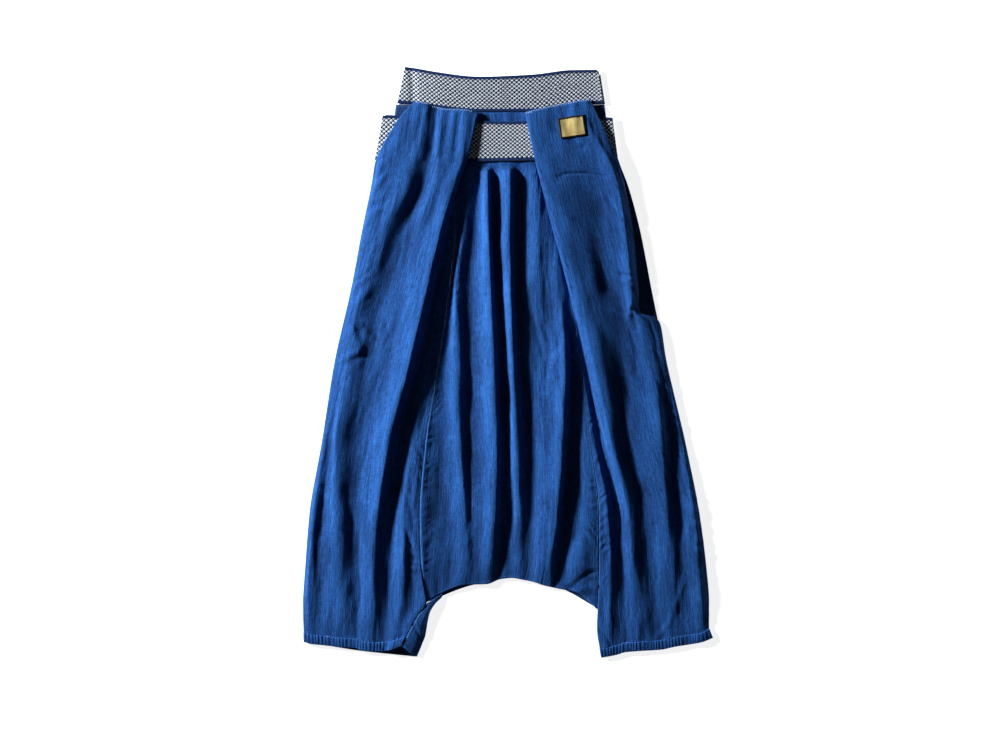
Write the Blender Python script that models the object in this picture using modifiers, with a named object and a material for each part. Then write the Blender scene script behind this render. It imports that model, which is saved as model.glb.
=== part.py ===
"""Harem jeans, laid flat on their back: denim legs and gusset, a knitted waistband and a knitted belt.

The tables are in millimetres: a drop is measured down from the waist edge, an across to the right
of the middle line, and a height up from the surface to the inner face of the cloth.
"""
import math
from collections import namedtuple

import bmesh
import bpy
import numpy as np
from mathutils import Vector
from mathutils.bvhtree import BVHTree

MM = 0.001

# Driving dimensions
LENGTH = 900.0
DENIM = 1.4
KNIT = 1.8
SEAM_GAP = 0.4
CASING = 14.0
CASING_WALL = 2.0
PUCKER = 5.0
PUCKER_RISE = 0.7
PATCH_WIDTH = 40.0
PATCH_HEIGHT = 32.0
PATCH_WALL = 1.2

# Sampling: rows between two levels, columns between two folds
ROWS = 2
COLUMNS = 2

Fold = namedtuple("Fold", "name top bottom across height")
Station = namedtuple("Station", "top_across top_drop foot_across foot_drop height")

# Levels down a leg, as drops; a fold has one value at its own top, one a level, one at its own bottom
#               belt  foot  hip  seat  pocket  thigh  knee  calf  low  ankle  cuff
LEFT_LEVELS = (80, 147, 178, 245, 340, 450, 570, 680, 755, 815, 836)

FRONT_LEFT = (
    Fold("side", 53, 876,
         (-142, -166, -202, -207, -221, -239, -264, -283, -302, -308, -312, -312, -311),
         (4.8, 8.3, 7.6, 3.2, 1.8, 1.8, 1.8, 1.8, 1.8, 1.8, 1.8, 1.8, 1.9)),
    Fold("side_roll", 54, 879,
         (-136, -156, -189, -200, -214, -232, -254, -277, -295, -301, -304, -303, -301),
         (6.0, 10.0, 11.5, 8.7, 6.5, 6.0, 6.2, 4.8, 5.6, 5.8, 5.4, 4.6, 2.3)),
    Fold("side_dip", 54.5, 881,
         (-132, -146, -172, -184, -203, -228, -249, -271, -284, -290, -288, -285, -283),
         (6.2, 11.2, 12.6, 11.0, 9.0, 7.4, 7.4, 4.6, 2.6, 2.4, 2.6, 2.6, 2.0)),
    Fold("outer_ridge", 55, 884,
         (-124, -132, -146, -154, -187, -223, -242, -261, -262, -259, -256, -255, -254),
         (6.4, 12.3, 14.2, 13.6, 11.5, 8.8, 8.8, 9.6, 9.6, 8.4, 6.6, 5.2, 2.5)),
    Fold("long_valley", 60, 886,
         (-112, -113, -118, -126, -157, -186, -212, -228, -230, -228, -228, -229, -230),
         (4.8, 9.0, 9.8, 7.2, 4.2, 3.2, 5.2, 2.4, 2.0, 2.0, 2.1, 2.2, 1.9)),
    Fold("shoulder", 64, 889,
         (-95, -99, -105, -111, -132, -158, -184, -206, -216, -219, -221, -222, -223),
         (6.4, 11.0, 13.2, 12.4, 10.6, 8.8, 8.6, 7.0, 6.0, 5.6, 4.8, 4.2, 2.3)),
    Fold("lip_top", 66, 890,
         (-61, -62, -73, -84, -102, -125, -150, -181, -199, -205, -208, -209, -210),
         (8.5, 11.6, 14.3, 15.7, 16.9, 18.1, 18.7, 17.1, 13.6, 11.0, 8.0, 6.6, 3.1)),
    Fold("lip", 72, 891,
         (-46, -48, -64, -75, -95, -118, -143, -172, -189, -196, -198, -199, -200),
         (7.5, 10.6, 11.9, 11.2, 12.3, 12.7, 12.7, 10.6, 7.7, 6.8, 5.6, 4.8, 2.5)),
    Fold("under", 73, 890,
         (-53, -55, -73, -79, -89, -108, -130, -160, -176, -181, -183, -184, -188),
         (6.7, 9.8, 9.8, 7.2, 4.6, 2.4, 2.1, 2.1, 2.1, 2.1, 2.3, 2.3, 2.3)),
    Fold("strip_ridge", 73, 888,
         (-66, -68, -79, -80.5, -85, -101, -122, -142, -157, -160, -162, -166, -177),
         (6.7, 9.7, 9.7, 6.6, 3.8, 2.6, 4.2, 7.2, 10.0, 9.2, 8.2, 7.4, 6.1)),
    Fold("strip_dip", 73, 885,
         (-73, -74, -81, -81.5, -83, -95, -113, -134, -146, -148, -146, -154, -171),
         (6.7, 9.7, 9.7, 6.2, 3.4, 2.4, 3.0, 6.8, 8.5, 5.8, 6.1, 6.4, 6.5)),
    Fold("seam", 73, 882,
         (-81, -82, -84, -82.5, -81, -90, -106, -126, -135, -133, -124, -138, -163),
         (6.7, 9.7, 9.7, 5.9, 3.2, 2.3, 2.6, 6.1, 7.8, 7.0, 6.8, 6.8, 6.9)),
)

#                belt  foot  hip  seat  pocket  slit  slit_end  thigh  knee  calf  low  ankle  cuff
RIGHT_LEVELS = (80, 147, 178, 245, 340, 372, 388, 450, 570, 680, 755, 815, 855)

FRONT_RIGHT = (
    Fold("seam", 69, 900,
         (57, 58, 58, 62, 76, 94, 99, 101.5, 111, 126, 139, 139, 137, 135.5, 142),
         (6.7, 9.7, 9.7, 8.2, 8.2, 6.0, 4.6, 4.0, 4.2, 6.9, 7.2, 6.6, 4.8, 3.4, 2.1)),
    Fold("strip_ridge", 69, 898,
         (53, 54, 56.5, 61, 75, 94.5, 100, 103, 113, 131, 151, 155, 154, 153, 154),
         (6.7, 9.7, 9.7, 8.5, 8.5, 6.5, 4.8, 4.0, 3.8, 7.2, 8.8, 8.4, 6.8, 4.8, 2.3)),
    Fold("crevice", 69, 895,
         (49, 50, 55, 60, 74, 95, 101, 104.5, 116, 140, 163, 167, 168, 169, 168),
         (6.7, 9.7, 9.7, 8.8, 8.9, 7.2, 5.4, 4.2, 2.4, 2.1, 2.1, 2.1, 2.1, 2.1, 1.9)),
    Fold("lip_base", 69, 892,
         (40, 41, 50, 56, 71, 95.8, 102, 106.5, 119, 146, 170, 175, 177, 178, 177),
         (6.8, 9.8, 9.9, 9.6, 10.0, 9.0, 7.4, 6.2, 4.0, 3.7, 3.0, 2.8, 2.6, 2.4, 2.1)),
    Fold("lip", 70, 891,
         (27, 29, 43, 51, 68, 93.5, 102, 107, 122, 150, 175, 181, 184, 186, 186),
         (7.5, 10.6, 11.9, 12.2, 13.0, 12.0, 11.0, 10.0, 9.2, 8.6, 6.5, 5.6, 4.4, 3.5, 2.5)),
    Fold("lip_top", 67, 890,
         (38, 39, 52, 61, 78, 105, 112.5, 117, 132, 158, 184, 190, 194, 197, 198),
         (8.5, 11.6, 14.1, 15.0, 15.9, 16.4, 16.2, 16.2, 16.1, 13.6, 10.2, 8.6, 6.2, 4.4, 2.7)),
    Fold("hollow", 59, 888,
         (73, 81, 128, 134, 150, 168, 174, 176, 180, 182, 207, 213, 220, 229, 232),
         (6.6, 9.5, 9.9, 8.6, 7.4, 6.4, 6.2, 6.0, 5.8, 5.4, 3.6, 2.9, 2.5, 2.3, 1.9)),
    Fold("main_ridge", 53, 883,
         (104, 115, 154, 166, 177, 187, 190, 204, 222, 232, 240, 246, 251, 254, 256),
         (7.1, 10.9, 12.8, 12.2, 12.6, 12.8, 11.6, 10.0, 9.6, 12.6, 10.4, 8.2, 5.4, 4.0, 2.7)),
    Fold("outer_dip", 51, 880,
         (113, 124, 160, 171, 182.5, 192.5, 194.5, 215, 233, 249, 262, 267, 272, 274, 276),
         (6.7, 9.8, 11.0, 9.6, 9.5, 9.5, 8.0, 7.4, 6.6, 3.8, 2.8, 2.8, 2.8, 2.5, 2.1)),
    Fold("outer_ridge", 51, 876,
         (119, 131, 164, 174, 186, 196, 197.5, 223, 238, 264, 283, 289, 293, 294.5, 296),
         (6.5, 9.2, 10.0, 7.6, 6.5, 6.5, 5.5, 5.6, 5.2, 5.0, 7.4, 8.8, 7.6, 5.4, 3.3)),
    Fold("side", 50, 870,
         (124, 139, 168, 176, 189, 198, 200, 229.5, 241, 269, 291, 301, 306, 306, 312),
         (4.8, 8.3, 8.0, 4.6, 3.0, 3.0, 2.6, 1.8, 1.8, 1.8, 1.8, 1.8, 1.8, 1.8, 1.9)),
)

#                 belt  foot  hip  seat  pocket  thigh  knee  calf  low
CENTRE_LEVELS = (80, 147, 170, 245, 340, 450, 570, 680, 755)

FRONT_CENTRE = (
    Fold("seam_left", 70, 815,
         (-81, -82, -84, -82.5, -81, -90, -106, -126, -135, -133, -123.6),
         (3.2, 3.9, 3.9, 2.1, 2.0, 2.1, 2.5, 6.0, 7.6, 6.8, 5.1)),
    Fold("left_valley", 70, 802,
         (-73, -74, -76, -76, -75, -86, -99, -102, -97, -94, -100),
         (3.2, 3.9, 3.9, 1.9, 1.8, 1.8, 1.9, 1.9, 1.9, 1.9, 2.7)),
    Fold("low_ridge", 70, 790,
         (-61, -60, -58, -58, -66, -79, -79, -74, -66, -63, -67),
         (3.3, 4.0, 4.3, 5.6, 5.6, 6.8, 8.8, 9.0, 8.0, 6.8, 3.3)),
    Fold("low_valley", 70, 789,
         (-50, -49, -46, -46, -52, -58, -58, -58, -55, -52, -53),
         (3.2, 3.9, 3.9, 2.1, 2.0, 2.0, 2.0, 2.9, 5.0, 5.5, 2.9)),
    Fold("long_ridge", 70, 788,
         (-40, -38, -34, -31, -30, -27, -22, -18, -21, -27, -32),
         (3.3, 4.0, 4.3, 12.7, 15.0, 15.7, 15.7, 14.9, 13.3, 9.8, 4.1)),
    Fold("mid_valley", 70, 781,
         (-23, -22, -21, -22, -22, -16, -9, -6, -3, -7, -12),
         (3.2, 3.9, 3.9, 1.9, 1.8, 1.8, 1.8, 1.8, 1.8, 1.8, 1.8)),
    Fold("mid_ridge", 70, 779,
         (-6, -4, 0, 2, 2, 4, 7, 12, 16, 12, 6),
         (3.3, 4.0, 4.3, 13.2, 14.3, 14.7, 12.8, 10.5, 7.6, 4.7, 2.9)),
    Fold("wide_valley", 70, 782,
         (11, 12, 15, 15, 14, 15, 23, 34, 34, 28, 24),
         (3.2, 3.9, 3.9, 1.9, 1.8, 1.8, 1.8, 1.9, 2.3, 3.0, 2.3)),
    Fold("high_ridge", 70, 786,
         (29, 31, 38, 42, 48, 45, 46, 50, 50, 45, 43),
         (3.3, 4.0, 4.3, 7.8, 9.0, 8.6, 4.0, 6.0, 7.6, 7.0, 3.3)),
    Fold("slope", 70, 789,
         (38, 40, 45, 48, 58, 58, 60, 64, 60, 54, 51),
         (3.2, 3.9, 3.9, 6.2, 7.4, 6.6, 5.6, 9.4, 10.4, 8.6, 3.5)),
    Fold("right_ridge", 70, 792,
         (44, 46, 50, 53, 67, 76, 86, 82, 74, 65, 63),
         (3.2, 3.9, 3.9, 5.5, 6.0, 8.4, 13.6, 14.8, 13.0, 9.4, 3.5)),
    Fold("right_valley", 70, 795,
         (49, 51, 53, 57, 71, 88, 98, 97, 89, 77, 75),
         (3.2, 3.9, 3.9, 5.1, 5.4, 5.6, 2.4, 1.9, 1.9, 1.9, 1.9)),
    Fold("seam_ridge", 70, 801,
         (53, 54, 56, 59.3, 74, 91, 106, 119, 123, 109, 105),
         (3.2, 3.9, 3.9, 5.0, 5.0, 4.8, 3.3, 6.4, 7.7, 7.5, 3.1)),
    Fold("seam_right", 70, 827,
         (57, 58, 58, 61, 76, 94, 111, 126, 139, 139, 136),
         (3.2, 3.9, 3.9, 5.0, 4.8, 4.5, 3.6, 6.6, 6.9, 6.2, 3.7)),
)

# The back panels lie flat, and step up over the rear half of the belt
BACK_TOP = 0.0
BACK_BELT = 2.1


def back_heights(count):
    """One height at the top edge, the belt and its foot, then the surface itself."""
    return (BACK_TOP, BACK_BELT, BACK_BELT) + (0.0,) * (count - 3)


BACK_LEFT = (
    Fold("side", 57.4, 876,
         (-171, -174, -203, -208, -221, -239, -264, -283, -302, -308, -312, -312, -311), back_heights(13)),
    Fold("middle", 59.0, 890,
         (-121, -126, -143, -145, -151, -164, -185, -204, -218, -221, -218, -220, -226), back_heights(13)),
    Fold("seam", 60.0, 899,
         (-72, -77, -84, -82.5, -81, -90, -106, -126, -135, -133, -124, -127, -141), back_heights(13)),
)

BACK_RIGHT = (
    Fold("seam", 60.1, 900,
         (58, 58, 58, 62, 76, 94, 99, 101.5, 111, 126, 139, 139, 137, 135.5, 142), back_heights(15)),
    Fold("middle", 59.4, 884,
         (102, 104, 114, 122, 138, 157, 161.5, 164, 176, 198, 215, 220, 221, 221, 223), back_heights(15)),
    Fold("side", 57.5, 870,
         (147, 150, 170, 182, 200.5, 219, 225.5, 229, 241, 270, 291, 301, 306, 306, 312), back_heights(15)),
)

BACK_CENTRE = (
    Fold("seam_left", 60.0, 812,
         (-72, -77, -84, -82.5, -81, -90, -106, -126, -135, -133, -123), back_heights(11)),
    Fold("left", 60.4, 791,
         (-38, -41, -45, -43, -38, -40, -47, -57, -61, -60, -58), back_heights(11)),
    Fold("middle", 60.4, 779,
         (-8, -10, -13, -10, -3, 2, 3, 0, 2, 3, 5), back_heights(11)),
    Fold("right", 60.4, 790,
         (25, 24, 22, 26, 36, 48, 57, 63, 70, 71, 68), back_heights(11)),
    Fold("seam_right", 60.1, 825,
         (58, 58, 58, 62, 76, 94, 111, 126, 139, 139, 136), back_heights(11)),
)

# The back of the left leg rolls round to the front below the crotch
TURN_LEVELS = (807.3, 817, 832, 846, 865)
TURN_LEFT = (
    Fold("seam", 804, 882, (-102, -108, -122, -134, -143.5, -152, -162), (2.4, 4.0, 6.2, 6.6, 6.8, 6.9, 6.9)),
    Fold("fold", 803, 891, (-100.5, -104, -114, -124, -131, -138, -151), (2.1, 3.0, 5.2, 5.9, 6.1, 6.2, 6.0)),
    Fold("edge", 802, 899, (-99, -101, -111, -120, -123, -126, -139), (1.8, 1.8, 1.8, 1.8, 1.8, 1.8, 1.8)),
)

# Bands: a row for each place across them
WAISTBAND_FRONT = (
    Station(-157, 0.0, -169, 56.0, 2.6),
    Station(-145, 1.5, -151, 57.0, 2.7),
    Station(-108, 8.0, -112, 62.0, 2.8),
    Station(-43, 15.0, -44, 68.5, 2.8),
    Station(34, 12.0, 36, 68.5, 2.8),
    Station(95, 5.0, 99, 60.0, 2.8),
    Station(134, 4.5, 139, 56.0, 2.7),
    Station(138, 8.0, 146, 57.0, 2.6),
)
WAISTBAND_BACK = (
    Station(-153, 3.0, -167, 57.0, 0.0),
    Station(-108, 10.0, -110, 59.0, 0.0),
    Station(-43, 17.0, -42, 60.0, 0.0),
    Station(34, 14.0, 36, 60.0, 0.0),
    Station(95, 9.0, 99, 59.0, 0.0),
    Station(141, 12.0, 148, 57.0, 0.0),
)
BELT_FRONT = (
    Station(-191, 75, -203, 142, 4.0),
    Station(-182, 73.5, -192, 143, 4.1),
    Station(-150, 76, -158, 144, 4.4),
    Station(-95, 79, -99, 145, 5.4),
    Station(-66, 81, -66, 145, 6.0),
    Station(0, 84, 0, 144, 6.1),
    Station(44, 82, 45, 143, 6.0),
    Station(80, 79, 84, 142, 5.4),
    Station(130, 76, 140, 140, 4.4),
    Station(159, 78, 167, 138, 4.0),
)
BELT_BACK = tuple(row._replace(top_drop=row.top_drop + 6, height=0.0) for row in BELT_FRONT)

# The patch: its middle, as across and drop, and its tilt
PATCH_MIDDLE = (97.5, 92.5)
PATCH_TILT = math.radians(8.5)

# Colour as linear red, green and blue, with the roughness
MATERIALS = {
    "denim": ((0.026, 0.107, 0.40), 0.85),
    "denim_dark": ((0.016, 0.055, 0.20), 0.88),
    "knit": ((0.19, 0.24, 0.31), 0.9),
    "patch": ((0.62, 0.47, 0.20), 0.6),
}


def clear_scene():
    for item in list(bpy.data.objects):
        bpy.data.objects.remove(item, do_unlink=True)


def material(name):
    colour, roughness = MATERIALS[name]
    made = bpy.data.materials.get(name) or bpy.data.materials.new(name)
    made.use_nodes = True
    shader = made.node_tree.nodes["Principled BSDF"]
    shader.inputs["Base Color"].default_value = (*colour, 1.0)
    shader.inputs["Roughness"].default_value = roughness
    shader.inputs["Metallic"].default_value = 0.0
    return made


def slopes(keys, values):
    """Slopes of a curve through the values that never overshoots them."""
    step = np.diff(keys)
    rise = np.diff(values, axis=0) / step[:, None]
    slope = np.zeros_like(values)
    slope[0], slope[-1] = rise[0], rise[-1]
    for i in range(1, len(keys) - 1):
        before, after = rise[i - 1], rise[i]
        same_way = before * after > 0
        left, right = 2 * step[i] + step[i - 1], step[i] + 2 * step[i - 1]
        safe_before = np.where(same_way, before, 1.0)
        safe_after = np.where(same_way, after, 1.0)
        mean = (left + right) / (left / safe_before + right / safe_after)
        slope[i] = np.where(same_way, mean, 0.0)
    return slope


def smooth(keys, values, at):
    """Values of that curve at the places asked for."""
    keys = np.asarray(keys, float)
    values = np.asarray(values, float)
    slope = slopes(keys, values)
    at = np.asarray(at, float)
    i = np.clip(np.searchsorted(keys, at, side="right") - 1, 0, len(keys) - 2)
    step = (keys[i + 1] - keys[i])[:, None]
    t = ((at - keys[i]) / (keys[i + 1] - keys[i]))[:, None]
    start = (2 * t**3 - 3 * t**2 + 1) * values[i] + (t**3 - 2 * t**2 + t) * step * slope[i]
    return start + (-2 * t**3 + 3 * t**2) * values[i + 1] + (t**3 - t**2) * step * slope[i + 1]


def between(count, parts):
    """Evenly spaced places over a number of intervals, the ends of each among them."""
    return np.linspace(0, count - 1, (count - 1) * parts + 1)


def fold_keys(fold, levels, trim):
    """A fold's points (across, drop, height), its last one moved up along the fold by the trim."""
    keys = np.column_stack([fold.across, (fold.top, *levels, fold.bottom), fold.height])
    if trim:
        last = len(keys) - 1
        tail = smooth(np.arange(len(keys)), keys, np.linspace(last - 1, last, 41))
        keys[-1] = [np.interp(fold.bottom - trim, tail[:, 1], tail[:, axis]) for axis in range(3)]
    return keys


def fold_lines(folds, levels, rows, trim=0.0):
    """Points of each fold at each row, from the waist down."""
    lines = []
    for fold in folds:
        keys = fold_keys(fold, levels, trim)
        lines.append(smooth(np.arange(len(keys)), keys, between(len(keys), rows)))
    return np.array(lines)


def cross_section(points, columns):
    """A smooth line through one row of fold points, which may hang over itself."""
    chord = np.hypot(np.diff(points[:, 0]), np.diff(points[:, 2]))
    along = np.concatenate([[0.0], np.cumsum(np.maximum(chord, 0.5))])
    at = np.interp(between(len(points), columns), np.arange(len(points)), along)
    return smooth(along, points, at)


def follow(grid, edge, seam, gap=SEAM_GAP, below=0.0):
    """Lays one long edge of a panel along its neighbour's seam line, a gap away from it."""
    drops = grid[:, edge, 1]
    beside = np.interp(drops, seam[:, 1], seam[:, 0]) + (gap if edge == 0 else -gap)
    grid[:, edge, 0] = np.where(drops > below, beside, grid[:, edge, 0])
    return grid


def sheet(name, grid, wall, colour, collection):
    """Cloth of one thickness on a grid of points, whose rows run from the waist down."""
    rows, columns = grid.shape[:2]
    bm = bmesh.new()
    bmesh.ops.create_grid(bm, x_segments=columns - 1, y_segments=rows - 1, size=1.0)
    bm.verts.ensure_lookup_table()
    for i, vert in enumerate(bm.verts):
        across, drop, height = grid[rows - 1 - i // columns, i % columns]
        vert.co = Vector((across * MM, (LENGTH / 2 - drop) * MM, height * MM))
    mesh = bpy.data.meshes.new(name)
    bm.to_mesh(mesh)
    bm.free()
    mesh.materials.append(material(colour))
    mesh.shade_smooth()
    made = bpy.data.objects.new(name, mesh)
    collection.objects.link(made)
    shell = made.modifiers.new("wall", "SOLIDIFY")
    shell.thickness = wall * MM
    shell.offset = 1.0
    shell.use_quality_normals = True
    return made


def panel_grid(folds, levels, rows=ROWS, columns=COLUMNS, trim=0.0):
    lines = fold_lines(folds, levels, rows, trim)
    return np.array([cross_section(lines[:, row], columns) for row in range(lines.shape[1])])


def casing_grid(folds, levels, columns_per_pucker=4, rows=2, rise=PUCKER_RISE):
    """The gathered casing below a leg panel, from the panel's own lower end."""
    top = np.array([fold_keys(fold, levels, CASING)[-1] for fold in folds])
    foot = np.array([fold_keys(fold, levels, 0.0)[-1] for fold in folds])
    puckers = round(abs(foot[-1, 0] - foot[0, 0]) / PUCKER)
    fine = np.linspace(0, 1, puckers * columns_per_pucker + 1)
    along = np.concatenate([[0.0], np.cumsum(np.abs(np.diff(top[:, 0])))])
    top = smooth(along / along[-1], top, fine)
    foot = smooth(along / along[-1], foot, fine)
    wave = rise * (0.5 - 0.5 * np.cos(2 * math.pi * puckers * fine))
    grid = []
    for down in np.linspace(0, 1, rows + 1):
        row = top + (foot - top) * down
        row[:, 2] += wave * (1.0 - 0.4 * down)
        grid.append(row)
    return np.array(grid)


def band_grid(stations, columns, rows):
    """A band between its top and foot edges."""
    table = np.array(stations, float)
    at = between(len(table), columns)
    edges = smooth(np.arange(len(table)), table, at)
    grid = []
    for down in np.linspace(0, 1, rows + 1):
        across = edges[:, 0] + (edges[:, 2] - edges[:, 0]) * down
        drop = edges[:, 1] + (edges[:, 3] - edges[:, 1]) * down
        grid.append(np.column_stack([across, drop, edges[:, 4]]))
    return np.array(grid)


def world_tree(item):
    """The surface of a finished piece, for laying another on it."""
    depsgraph = bpy.context.evaluated_depsgraph_get()
    depsgraph.update()
    return BVHTree.FromObject(item, depsgraph)


def patch_grid(carrier, segments=6):
    """Points of the patch, laid on the leg panel below it."""
    tree = world_tree(carrier)
    grid = np.zeros((segments + 1, segments + 1, 3))
    for row in range(segments + 1):
        for column in range(segments + 1):
            right = (column / segments - 0.5) * PATCH_WIDTH
            down = (row / segments - 0.5) * PATCH_HEIGHT
            across = PATCH_MIDDLE[0] + right * math.cos(PATCH_TILT) + down * math.sin(PATCH_TILT)
            drop = PATCH_MIDDLE[1] + down * math.cos(PATCH_TILT) - right * math.sin(PATCH_TILT)
            start = Vector((across * MM, (LENGTH / 2 - drop) * MM, 0.1))
            hit, normal, _, _ = tree.ray_cast(start, Vector((0, 0, -1)))
            place = hit + normal * SEAM_GAP * MM
            grid[row, column] = (place.x / MM, LENGTH / 2 - place.y / MM, place.z / MM)
    return grid


def build():
    clear_scene()
    parts = bpy.data.collections.new("harem_jeans")
    bpy.context.scene.collection.children.link(parts)

    trim = CASING + SEAM_GAP
    left = panel_grid(FRONT_LEFT, LEFT_LEVELS, trim=trim)
    right = panel_grid(FRONT_RIGHT, RIGHT_LEVELS, trim=trim)
    centre = panel_grid(FRONT_CENTRE, CENTRE_LEVELS)
    follow(centre, 0, left[:, -1])
    follow(centre, -1, right[:, 0])
    turn = panel_grid(TURN_LEFT, TURN_LEVELS)
    follow(turn, 0, fold_lines(FRONT_LEFT[-1:], LEFT_LEVELS, ROWS)[0], 2 * SEAM_GAP, LEFT_LEVELS[-2])
    sheet("turn_left", turn, DENIM, "denim", parts)
    sheet("front_left", left, DENIM, "denim", parts)
    front_right = sheet("front_right", right, DENIM, "denim", parts)
    sheet("front_centre", centre, DENIM, "denim", parts)

    left = panel_grid(BACK_LEFT, LEFT_LEVELS, columns=1, trim=trim)
    right = panel_grid(BACK_RIGHT, RIGHT_LEVELS, columns=1, trim=trim)
    centre = panel_grid(BACK_CENTRE, CENTRE_LEVELS, columns=1)
    follow(centre, 0, left[:, -1])
    follow(centre, -1, right[:, 0])
    sheet("back_left", left, DENIM, "denim", parts)
    sheet("back_right", right, DENIM, "denim", parts)
    sheet("back_centre", centre, DENIM, "denim", parts)

    sheet("hem_left_front", casing_grid(FRONT_LEFT, LEFT_LEVELS), CASING_WALL, "denim_dark", parts)
    sheet("hem_right_front", casing_grid(FRONT_RIGHT, RIGHT_LEVELS), CASING_WALL, "denim_dark", parts)
    sheet("hem_left_back", casing_grid(BACK_LEFT, LEFT_LEVELS, 1, 1, 0.0), DENIM, "denim_dark", parts)
    sheet("hem_right_back", casing_grid(BACK_RIGHT, RIGHT_LEVELS, 1, 1, 0.0), DENIM, "denim_dark", parts)

    sheet("waistband_front", band_grid(WAISTBAND_FRONT, 4, 3), KNIT, "knit", parts)
    sheet("waistband_back", band_grid(WAISTBAND_BACK, 4, 2), KNIT, "knit", parts)
    sheet("belt_front", band_grid(BELT_FRONT, 4, 3), KNIT, "knit", parts)
    sheet("belt_back", band_grid(BELT_BACK, 4, 2), KNIT, "knit", parts)
    sheet("patch", patch_grid(front_right), PATCH_WALL, "patch", parts)


build()
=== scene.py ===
"""Harem jeans, laid flat on their back: the cloth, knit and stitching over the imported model.

The tables are in millimetres, as in the part's source: a drop is measured down from the waist edge,
an across to the right of the middle line, and a height up from the floor to the inner face of the cloth.
"""
import math
from collections import namedtuple

import bmesh
import bpy
import numpy as np
from mathutils import Matrix, Vector, noise
from mathutils.bvhtree import BVHTree


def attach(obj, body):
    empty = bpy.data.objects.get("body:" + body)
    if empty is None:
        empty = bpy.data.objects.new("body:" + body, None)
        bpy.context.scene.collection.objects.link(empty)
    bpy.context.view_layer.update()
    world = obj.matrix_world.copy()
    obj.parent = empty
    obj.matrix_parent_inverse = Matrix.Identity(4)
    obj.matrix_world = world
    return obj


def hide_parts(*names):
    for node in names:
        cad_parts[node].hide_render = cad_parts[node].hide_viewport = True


MM = 0.001

# The photograph's frame: what it covers across, and its middle
FRAME_WIDTH = 1525.0
FRAME_MIDDLE = (-12.2, 454.5)
LENS = 85.0
SENSOR = 36.0

# Driving dimensions
LENGTH = 900.0
DENIM = 1.2
KNIT = 1.4
SEAM_GAP = 0.4
BACK_SEAM_GAP = 0.05
CASING = 14.0
CASING_WALL = 1.6
PUCKER = 5.0
PUCKER_RISE = 0.7
PATCH_WIDTH = 40.0
PATCH_HEIGHT = 32.0
PATCH_WALL = 0.9
PATCH_BORDER = 3.2

# The check knit: stitch cells, in rows that are offset by half a cell
CELL_WIDTH = 7.0
CELL_HEIGHT = 3.0
CELL_RISE = 0.4

# The lowest inner face that a front panel's wrinkles may reach, clear of the back panels
LOWEST = 1.7

Fold = namedtuple("Fold", "name top bottom across height")
Station = namedtuple("Station", "top_across top_drop foot_across foot_drop height")
Crease = namedtuple("Crease", "rise width points")
Pucker = namedtuple("Pucker", "edge start end pitch rise reach")

# Levels down a leg, as drops; a fold has one value at its own top, one a level, one at its own bottom
#               belt  foot  hip  seat  pocket  thigh  knee  calf  low  ankle  cuff
LEFT_LEVELS = (80, 147, 178, 245, 340, 450, 570, 680, 755, 815, 836)

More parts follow.
